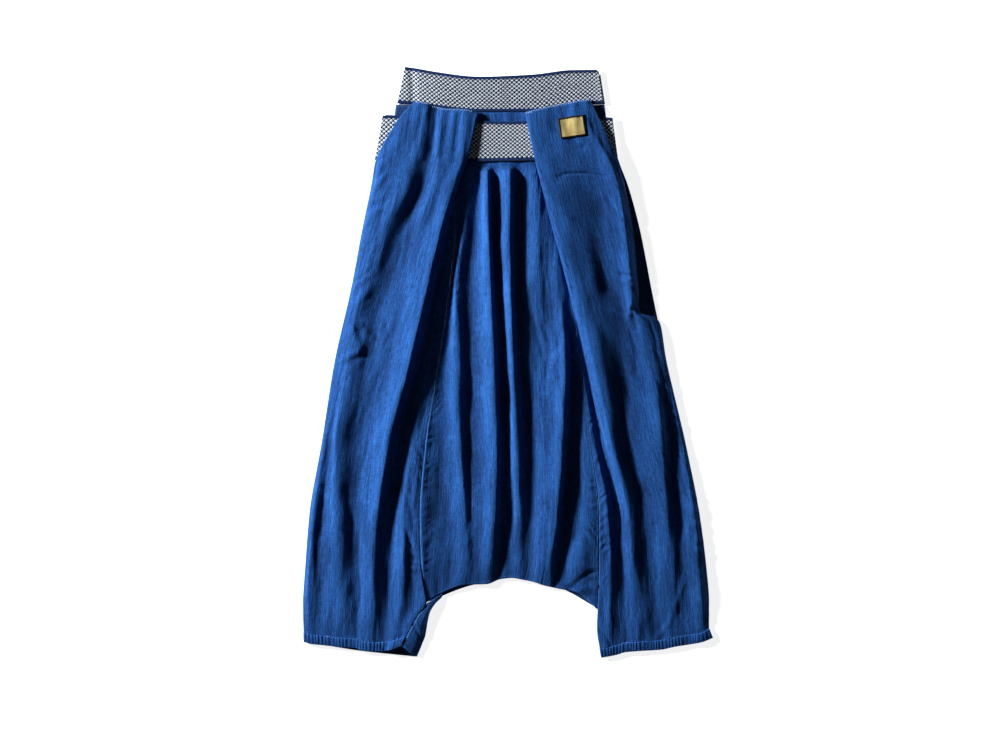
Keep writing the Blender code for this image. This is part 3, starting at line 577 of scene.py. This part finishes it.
class Finish:
    """A material, put together one node at a time."""

    def __init__(self, name, roughness, sheen=0.0):
        self.material = bpy.data.materials.new(name)
        self.material.use_nodes = True
        self.tree = self.material.node_tree
        self.shader = self.tree.nodes["Principled BSDF"]
        self.shader.inputs["Roughness"].default_value = roughness
        self.shader.inputs["Sheen Weight"].default_value = sheen
        self.shader.inputs["Specular IOR Level"].default_value = 0.15

    def feed(self, socket, value):
        if isinstance(value, bpy.types.NodeSocket):
            self.tree.links.new(value, socket)
        else:
            socket.default_value = value

    def node(self, kind, inputs, output=0, **settings):
        made = self.tree.nodes.new("ShaderNode" + kind)
        for name, value in settings.items():
            setattr(made, name, value)
        for socket, value in inputs.items():
            self.feed(made.inputs[socket], value)
        return made.outputs[output]

    def cloth(self):
        return self.node("UVMap", {}, uv_map="cloth")

    def point(self, name):
        return self.node("Attribute", {}, "Fac", attribute_name=name)

    def maths(self, operation, *values):
        return self.node("Math", dict(enumerate(values)), operation=operation)

    def grain(self, places, scale, detail=2.0, roughness=0.5):
        """Noise with so many features to a metre across and along the cloth."""
        stretched = self.node("Mapping", {"Vector": places, "Scale": (*scale, 1.0)})
        return self.node("TexNoise", {"Vector": stretched, "Scale": 1.0, "Detail": detail,
                                      "Roughness": roughness}, "Fac")

    def spread(self, value, low, high):
        return self.node("MapRange", {"Value": value, "From Min": low, "From Max": high}, clamp=True)

    def mix(self, factor, first, second):
        first = (*first, 1.0) if isinstance(first, tuple) else first
        second = (*second, 1.0) if isinstance(second, tuple) else second
        return self.node("Mix", {0: factor, 6: first, 7: second}, 2, data_type="RGBA")

    def bump(self, height, distance, before=None):
        inputs = {"Height": height, "Distance": distance, "Strength": 1.0}
        if before is not None:
            inputs["Normal"] = before
        return self.node("Bump", inputs)

    def done(self, colour, normal=None):
        self.feed(self.shader.inputs["Base Color"], colour)
        if normal is not None:
            self.feed(self.shader.inputs["Normal"], normal)
        return self.material


def denim(name, deep, middle, pale):
    """Slub denim: warp streaks, short slubs, a fine twill, crests paler from wear, hollows darker with painted
    shade, and paler turned edges.
    """
    finish = Finish(name, roughness=0.85, sheen=0.03)
    cloth = finish.cloth()
    streak = finish.grain(cloth, (380, 24), detail=3.0, roughness=0.65)
    slub = finish.grain(cloth, (680, 120), detail=2.0, roughness=0.6)
    weft = finish.grain(cloth, (60, 700), detail=2.0)
    cloud = finish.grain(cloth, (20, 11), detail=3.0)
    tone = finish.maths("MULTIPLY", streak, 0.42)
    tone = finish.maths("MULTIPLY_ADD", slub, 0.40, tone)
    tone = finish.maths("MULTIPLY_ADD", weft, 0.18, tone)
    # Painted shade: darker denim in the hollows, with wear paling the crests.
    painted_shade_and_wear = finish.maths("MULTIPLY_ADD", finish.point("wear_and_painted_shade"), 0.16, -0.08)
    shade = finish.maths("MULTIPLY_ADD", cloud, 0.26, -0.13)
    level = finish.maths("ADD", finish.maths("ADD", tone, painted_shade_and_wear), shade)
    dark = finish.mix(finish.spread(level, 0.34, 0.52), deep, middle)
    colour = finish.mix(finish.spread(level, 0.50, 0.74), dark, pale)
    colour = finish.mix(finish.maths("MULTIPLY", finish.point("edge"), 0.35), colour, pale)
    twill_at = finish.node("Mapping", {"Vector": cloth, "Rotation": (0, 0, math.radians(63)), "Scale": (1, 1, 1)})
    twill = finish.node("TexWave", {"Vector": twill_at, "Scale": 150.0, "Distortion": 0.6,
                                    "Detail": 1.0, "Detail Scale": 2.0}, "Fac")
    normal = finish.bump(twill, 0.00012)
    normal = finish.bump(tone, 0.0014, normal)
    return finish.done(colour, normal)


def check_knit(name, rim):
    """Two-colour check knit: white cells on navy, with a plain rim."""
    finish = Finish(name, roughness=0.9, sheen=0.05)
    cloth = finish.cloth()
    yarn = finish.grain(cloth, (900, 500), detail=2.0)
    cell = finish.point("cell")
    white = finish.mix(yarn, GREY_YARN, WHITE_YARN)
    colour = finish.mix(finish.spread(cell, 0.30, 0.62), NAVY, white)
    rib = finish.mix(yarn, NAVY, rim)
    colour = finish.mix(finish.spread(finish.point("edge"), 0.4, 0.6), colour, rib)
    return finish.done(colour, finish.bump(yarn, 0.0006))


def plain_knit(name):
    """The inner face of the bands: pale grey, ribbed."""
    finish = Finish(name, roughness=0.9, sheen=0.2)
    cloth = finish.cloth()
    yarn = finish.grain(cloth, (800, 300), detail=2.0)
    rib = finish.node("TexWave", {"Vector": cloth, "Scale": 60.0}, "Fac")
    return finish.done(finish.mix(yarn, GREY_YARN, WHITE_YARN), finish.bump(rib, 0.0003))


def gold_weave(name):
    """A plain gold field, woven in fine ribs."""
    finish = Finish(name, roughness=0.45, sheen=0.1)
    cloth = finish.cloth()
    yarn = finish.grain(cloth, (500, 1500), detail=2.0)
    cloud = finish.grain(cloth, (90, 60), detail=2.0)
    rib = finish.node("TexWave", {"Vector": cloth, "Scale": 220.0, "Distortion": 0.3},
                      "Fac", bands_direction="Y")
    tone = finish.maths("MULTIPLY_ADD", yarn, 0.5, finish.maths("MULTIPLY", cloud, 0.5))
    colour = finish.mix(finish.spread(tone, 0.35, 0.65), GOLD_DEEP, GOLD)
    colour = finish.mix(finish.spread(finish.point("edge"), 0.3, 0.6), colour, BLACK_THREAD)
    return finish.done(colour, finish.bump(rib, 0.0002))


def thread(name, colour):
    finish = Finish(name, roughness=0.6, sheen=0.1)
    twist = finish.grain(finish.node("TexCoord", {}, "Object"), (1800, 1800), detail=2.0)
    darker = tuple(0.6 * part for part in colour)
    return finish.done(finish.mix(twist, darker, colour))


def floor_paper():
    """Pale paper on a light table, which keeps its shadows faint."""
    finish = Finish("floor_paper", roughness=0.9)
    finish.shader.inputs["Emission Color"].default_value = (1.0, 1.0, 1.0, 1.0)
    finish.shader.inputs["Emission Strength"].default_value = 0.84
    fibre = finish.grain(finish.node("TexCoord", {}, "Object"), (60, 60), detail=3.0)
    return finish.done(finish.mix(fibre, (0.86, 0.87, 0.88), (0.90, 0.90, 0.90)))


def shell(name, grid, wall, materials, node_name, edge=None, cell=None, places=None):
    """A cloth piece of one thickness on a grid of points."""
    rows, columns = grid.shape[:2]
    across, along = places or cloth_places(grid)
    if edge is None:
        border = np.minimum(from_sides(across), np.minimum(along, along[-1:] - along))
        edge = 1 - step_up(border, 0.6, 2.2)
    bm = bmesh.new()
    bmesh.ops.create_grid(bm, x_segments=columns - 1, y_segments=rows - 1, size=1.0)
    mesh = bpy.data.meshes.new(name)
    bm.to_mesh(mesh)
    bm.free()
    place = np.stack([grid[:, :, 0], LENGTH / 2 - grid[:, :, 1], grid[:, :, 2]], axis=2) * MM
    mesh.vertices.foreach_set("co", place[::-1].ravel())
    corner = np.empty(len(mesh.loops), int)
    mesh.loops.foreach_get("vertex_index", corner)
    flat = np.stack([across, -along], axis=2)[::-1].reshape(-1, 2) * MM
    mesh.uv_layers.new(name="cloth").data.foreach_set("uv", flat[corner].ravel())
    # The second of these values is wear on the crests and painted shade in the hollows.
    for label, values in (("edge", edge), ("wear_and_painted_shade", wear_and_painted_shade(grid)), ("cell", cell)):
        if values is not None:
            mesh.attributes.new(label, "FLOAT", "POINT").data.foreach_set("value", values[::-1].ravel())
    for each in materials:
        mesh.materials.append(each)
    mesh.shade_smooth()
    mesh.update()
    made = bpy.data.objects.new(name, mesh)
    bpy.context.scene.collection.objects.link(made)
    layer = made.modifiers.new("wall", "SOLIDIFY")
    layer.thickness = wall * MM
    layer.offset = 1.0
    layer.use_quality_normals = True
    layer.material_offset = len(materials) - 1
    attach(made, "root")
    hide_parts(node_name)
    return made


def knit_cells(across, along, height):
    """The raised cells of the check knit, and its plain rims."""
    row = along / CELL_HEIGHT
    shift = 0.5 * (np.floor(row) % 2)
    x = ((across / CELL_WIDTH + shift) % 1.0 - 0.5) * 2
    y = (row % 1.0 - 0.5) * 2
    away = np.sqrt((x / 0.62) ** 2 + (y / 0.92) ** 2)
    rim = 1 - step_up(np.minimum(along, height - along), 4.2, 4.8)
    return (1 - step_up(away, 0.66, 1.06)) * (1 - rim), rim


def band(name, stations, materials, node_name, raised, creases=(), columns=44, rows=76):
    """A knitted band's half: raised cells where it faces up, and colour alone where it lies on the floor."""
    grid = band_grid(stations, columns, rows)
    across, along = cloth_places(grid)
    along = np.repeat(np.linspace(0, along.max(), rows + 1)[:, None], grid.shape[1], axis=1)
    cell, rim = knit_cells(across, along, along.max())
    if raised:
        for crease in creases:
            grid[:, :, 2] += crease.rise * np.exp(-(near(grid, crease.points) / crease.width) ** 2)
        rib = 0.5 + 0.5 * np.cos(2 * math.pi * along / 1.6)
        grid[:, :, 2] += CELL_RISE * np.maximum(cell, rim * (0.5 + 0.3 * rib)) * step_up(from_sides(across), 0, 2)
    return shell(name, grid, KNIT, materials, node_name, rim, cell, (across, along))


def surface(item):
    """The top of a finished piece, for laying another on it."""
    depsgraph = bpy.context.evaluated_depsgraph_get()
    depsgraph.update()
    return BVHTree.FromObject(item, depsgraph)


def drop_on(tree, across, drop):
    """The place and the upward normal where a straight line down meets a surface, or None."""
    start = Vector((across * MM, (LENGTH / 2 - drop) * MM, 0.1))
    hit, normal, _, _ = tree.ray_cast(start, Vector((0, 0, -1)))
    return (hit, normal) if hit is not None else None


def evenly(points, pitch):
    """Places at one pitch along a line of points (across, drop), and its direction at each."""
    points = np.array(points, float)
    steps = np.linalg.norm(np.diff(points, axis=0), axis=1)
    along = np.concatenate([[0.0], np.cumsum(steps)])
    at = np.arange(pitch / 2, along[-1], pitch)
    places = np.column_stack([np.interp(at, along, points[:, axis]) for axis in range(2)])
    ahead = np.column_stack([np.interp(at + pitch / 4, along, points[:, axis]) for axis in range(2)])
    return zip(places, ahead - places)


def stitches(name, lines, trees, finish, pitch=3.2, size=(2.3, 0.6, 0.35), turn=0.0):
    """Rows of thread stitches, each laid on the uppermost of the pieces below it."""
    bm = bmesh.new()
    for line in lines:
        for (across, drop), (ahead, down) in evenly(line, pitch):
            hits = [hit for hit in (drop_on(tree, across, drop) for tree in trees) if hit]
            if not hits:
                continue
            place, normal = max(hits, key=lambda hit: hit[0].z)
            forward = Matrix.Rotation(turn, 3, "Z") @ Vector((ahead, -down, 0.0)).normalized()
            side = normal.cross(forward).normalized()
            forward = side.cross(normal)
            turned = Matrix((forward, side, normal)).transposed().to_4x4()
            scaled = Matrix.Diagonal((*(part / 2 * MM for part in size), 1.0))
            bmesh.ops.create_icosphere(bm, subdivisions=1, radius=1.0,
                                       matrix=Matrix.Translation(place) @ turned @ scaled)
    mesh = bpy.data.meshes.new(name)
    bm.to_mesh(mesh)
    bm.free()
    mesh.materials.append(finish)
    mesh.shade_smooth()
    made = bpy.data.objects.new(name, mesh)
    bpy.context.scene.collection.objects.link(made)
    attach(made, "root")
    return made


def patch_place(right, down):
    """Across and drop of a place on the patch, from its middle."""
    across = PATCH_MIDDLE[0] + right * math.cos(PATCH_TILT) + down * math.sin(PATCH_TILT)
    return across, PATCH_MIDDLE[1] + down * math.cos(PATCH_TILT) - right * math.sin(PATCH_TILT)


def patch_grid(tree, columns=40, rows=32):
    """Points of the patch, laid on the leg panel below it."""
    grid = np.zeros((rows + 1, columns + 1, 3))
    for row in range(rows + 1):
        for column in range(columns + 1):
            right = (column / columns - 0.5) * PATCH_WIDTH
            down = (row / rows - 0.5) * PATCH_HEIGHT
            across, drop = patch_place(right, down)
            hit, normal = drop_on(tree, across, drop)
            place = hit + normal * 0.3 * MM
            grid[row, column] = (place.x / MM, LENGTH / 2 - place.y / MM, place.z / MM)
    return grid


def soften(grid, times):
    """Evens out small waves in a grid's height, its edges kept."""
    for _ in range(times):
        height = grid[:, :, 2]
        around = height[:-2, 1:-1] + height[2:, 1:-1] + height[1:-1, :-2] + height[1:-1, 2:]
        height[1:-1, 1:-1] = np.maximum(height[1:-1, 1:-1], 0.5 * height[1:-1, 1:-1] + 0.125 * around)
    return grid


def light(name, direction, distance, size, power, colour):
    """A soft area light that looks at the jeans' middle."""
    data = bpy.data.lights.new(name, "AREA")
    data.shape = "DISK"
    data.size = size
    data.energy = power
    data.color = colour
    made = bpy.data.objects.new(name, data)
    made.location = Vector(direction).normalized() * distance
    made.rotation_euler = Vector(direction).to_track_quat("Z", "Y").to_euler()
    bpy.context.scene.collection.objects.link(made)


def studio():
    """Camera straight above, a low soft key from the left, and a pale floor."""
    scene = bpy.context.scene
    lens = bpy.data.cameras.new("camera")
    lens.lens = LENS
    lens.sensor_width = SENSOR
    camera = bpy.data.objects.new("camera", lens)
    across, drop = FRAME_MIDDLE
    camera.location = (across * MM, (LENGTH / 2 - drop) * MM, FRAME_WIDTH * MM * LENS / SENSOR)
    scene.collection.objects.link(camera)
    scene.camera = camera
    scene.view_settings.view_transform = "Standard"
    light("key", (-0.87, 0.38, 0.285), 2.8, 0.35, 206.0, (0.92, 0.96, 1.0))
    light("top_fill", (-0.1, 0.3, 1.0), 2.6, 1.6, 1.0, (0.92, 0.96, 1.0))
    bm = bmesh.new()
    bmesh.ops.create_grid(bm, x_segments=1, y_segments=1, size=4.0)
    mesh = bpy.data.meshes.new("floor")
    bm.to_mesh(mesh)
    bm.free()
    mesh.transform(Matrix.Translation((0, 0, -0.2 * MM)))
    mesh.materials.append(floor_paper())
    floor = bpy.data.objects.new("floor", mesh)
    scene.collection.objects.link(floor)
    world = bpy.data.worlds.new("room")
    scene.world = world
    world.use_nodes = True
    sky = world.node_tree.nodes["Background"]
    sky.inputs["Color"].default_value = (0.86, 0.92, 1.0, 1.0)
    sky.inputs["Strength"].default_value = 0.02


def dress():
    blue = denim("denim", INDIGO_DEEP, INDIGO, INDIGO_PALE)
    reverse = denim("denim_reverse", REVERSE_DEEP, REVERSE_DEEP, REVERSE_PALE)
    knit = check_knit("check_knit", ROYAL)
    inside = plain_knit("knit_inside")
    gold = gold_weave("gold_weave")
    white_thread = thread("white_thread", THREAD)
    pale_thread = thread("pale_thread", THREAD_PALE)
    blue_thread = thread("blue_thread", THREAD_BLUE)
    black_thread = thread("black_thread", BLACK_THREAD)

    # Back pieces first, since the front ones lie on them
    trim = CASING + SEAM_GAP
    left = panel_grid(BACK_LEFT, LEFT_LEVELS, 16, 5, trim)
    right = panel_grid(BACK_RIGHT, RIGHT_LEVELS, 16, 5, trim)
    centre = panel_grid(BACK_CENTRE, CENTRE_LEVELS, 12, 5)
    follow(centre, 0, left[:, -1], BACK_SEAM_GAP)
    follow(centre, -1, right[:, 0], BACK_SEAM_GAP)
    shell("back_leg_left", left, DENIM, (reverse, blue), "back_left")
    shell("back_leg_right", right, DENIM, (reverse, blue), "back_right")
    shell("back_gusset", centre, DENIM, (reverse, blue), "back_centre")
    for side, folds, levels in (("left", BACK_LEFT, LEFT_LEVELS), ("right", BACK_RIGHT, RIGHT_LEVELS)):
        grid = casing_grid(folds, levels, 4, 4, 0.0)
        shell(f"back_casing_{side}", grid, DENIM, (reverse, blue), f"hem_{side}_back")
    band("belt_rear_half", BELT_BACK, (inside, knit), "belt_back", False, columns=40)
    band("waistband_rear_half", WAISTBAND_BACK, (inside, knit), "waistband_back", False, columns=50)

    # Front pieces, with their small creases
    left = panel_grid(FRONT_LEFT, LEFT_LEVELS, 9, trim=trim)
    right = panel_grid(FRONT_RIGHT, RIGHT_LEVELS, 10, trim=trim)
    centre = panel_grid(FRONT_CENTRE, CENTRE_LEVELS, 8)
    turn = panel_grid(TURN_LEFT, TURN_LEVELS, 10, 1.5)
    follow(centre, 0, left[:, -1])
    follow(centre, -1, right[:, 0])
    seam = fold_lines(FRONT_LEFT[-1:], LEFT_LEVELS, even_rows(FRONT_LEFT, LEFT_LEVELS, 3))[0]
    follow(turn, 0, seam, 2 * SEAM_GAP, LEFT_LEVELS[-2])
    wrinkle(left, 1.5, LEFT_CREASES, LEFT_PUCKERS)
    wrinkle(right, 4.5, RIGHT_CREASES, RIGHT_PUCKERS)
    wrinkle(centre, 8.5, CENTRE_CREASES, CENTRE_PUCKERS)
    wrinkle(turn, 11.5, TURN_CREASES, (), 0.3)
    gather(centre)
    turned_edge(left)
    turned_edge(right)
    leg_left = shell("front_leg_left", left, DENIM, (blue, reverse), "front_left")
    leg_right = shell("front_leg_right", right, DENIM, (blue, reverse), "front_right")
    gusset = shell("front_gusset", centre, DENIM, (blue, reverse), "front_centre")
    roll = shell("leg_turn_left", turn, DENIM, (blue, reverse), "turn_left")
    casings = []
    for side, folds, levels in (("left", FRONT_LEFT, LEFT_LEVELS), ("right", FRONT_RIGHT, RIGHT_LEVELS)):
        grid = casing_grid(folds, levels, 8, 12, PUCKER_RISE)
        casings.append(shell(f"front_casing_{side}", grid, CASING_WALL, (blue, reverse),
                             f"hem_{side}_front"))
    band("waistband_front_half", WAISTBAND_FRONT, (knit, inside), "waistband_front",
         True, WAISTBAND_CREASES)
    band("belt_front_half", BELT_FRONT, (knit, inside), "belt_front",
         True, columns=46, rows=88)

    # The patch and its corded border
    tree = surface(leg_right)
    grid = soften(patch_grid(tree), 12)
    label = shell("patch_field", grid, PATCH_WALL, (gold,), "patch")
    half_width = PATCH_WIDTH / 2 - PATCH_BORDER / 2
    half_height = PATCH_HEIGHT / 2 - PATCH_BORDER / 2
    corners = ((-1, -1), (1, -1), (1, 1), (-1, 1), (-1, -1))
    rim = [patch_place(x * half_width, y * half_height) for x, y in corners]
    stitches("patch_border", [rim], [surface(label)], black_thread,
             pitch=0.75, size=(PATCH_BORDER, 1.0, 0.9), turn=math.radians(70))

    # Rows of thread
    trees = [surface(item) for item in (leg_left, leg_right, gusset, roll, *casings)]
    seam_left = [(x + 2.2, y) for x, y, _ in left[::6, -1] if y > LEFT_SEAM_SHOWS]
    seam_right = [(x - 2.2, y) for x, y, _ in right[::6, 0] if y > RIGHT_SEAM_SHOWS]
    hems = [[(x, y - 1.0) for x, y, _ in casing_grid(folds, levels, 1, 1, 0.0)[0]]
            for folds, levels in ((FRONT_LEFT, LEFT_LEVELS), (FRONT_RIGHT, RIGHT_LEVELS))]
    crotch = [(x, y - 3.0) for x, y, _ in centre[-1, 3:-3:2]]
    inner_left = [(x + 2.5, y) for x, y, _ in turn[2:, 0]]
    stitches("seam_thread", [seam_left, seam_right, inner_left], trees, pale_thread, 2.8,
             (2.3, 0.6, 0.35))
    stitches("hem_thread", [*hems, crotch], trees, blue_thread, 3.0)
    tops = [[(x, y + 1.2) for x, y, _ in grid[0, 2:-2]] for grid in (left[:, :60], right[:, 30:])]
    stitches("overlock_thread", tops, trees, white_thread, 2.6, (3.0, 0.8, 0.5), math.radians(80))


def gather(grid):
    """Gathers at the gusset's top, under the waistband and the belt, and along the crotch edge."""
    across, _ = cloth_places(grid)
    drop = grid[:, :, 1]
    side = step_up(from_sides(across), 0, 6)
    top = 0.55 * (1 - step_up(drop, 88, 110)) + 0.7 * step_up(drop, 150, 165) * (1 - step_up(drop, 175, 215))
    foot = grid[-1:, :, 1]
    edge = 0.35 * step_up(drop - foot, -26, -6)
    wave = 0.5 - 0.5 * np.cos(2 * math.pi * (across + 3 * wander(across, across, 20, 20, 3.3)) / GATHER_PITCH)
    grid[:, :, 2] += (top + edge) * wave * side


def turned_edge(grid, depth=7.0, rise=0.35):
    """The turned and stitched edge along a leg panel's free top."""
    down = grid[:, :, 1] - grid[:1, :, 1]
    grid[:, :, 2] += rise * (1 - step_up(down, depth - 1.5, depth))


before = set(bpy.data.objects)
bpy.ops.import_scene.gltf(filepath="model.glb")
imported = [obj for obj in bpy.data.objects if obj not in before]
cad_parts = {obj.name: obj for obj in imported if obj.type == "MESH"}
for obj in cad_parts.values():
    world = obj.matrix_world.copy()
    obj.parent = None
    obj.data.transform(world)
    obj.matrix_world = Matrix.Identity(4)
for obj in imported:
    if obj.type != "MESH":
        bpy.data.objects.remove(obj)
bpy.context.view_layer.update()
studio()
dress()
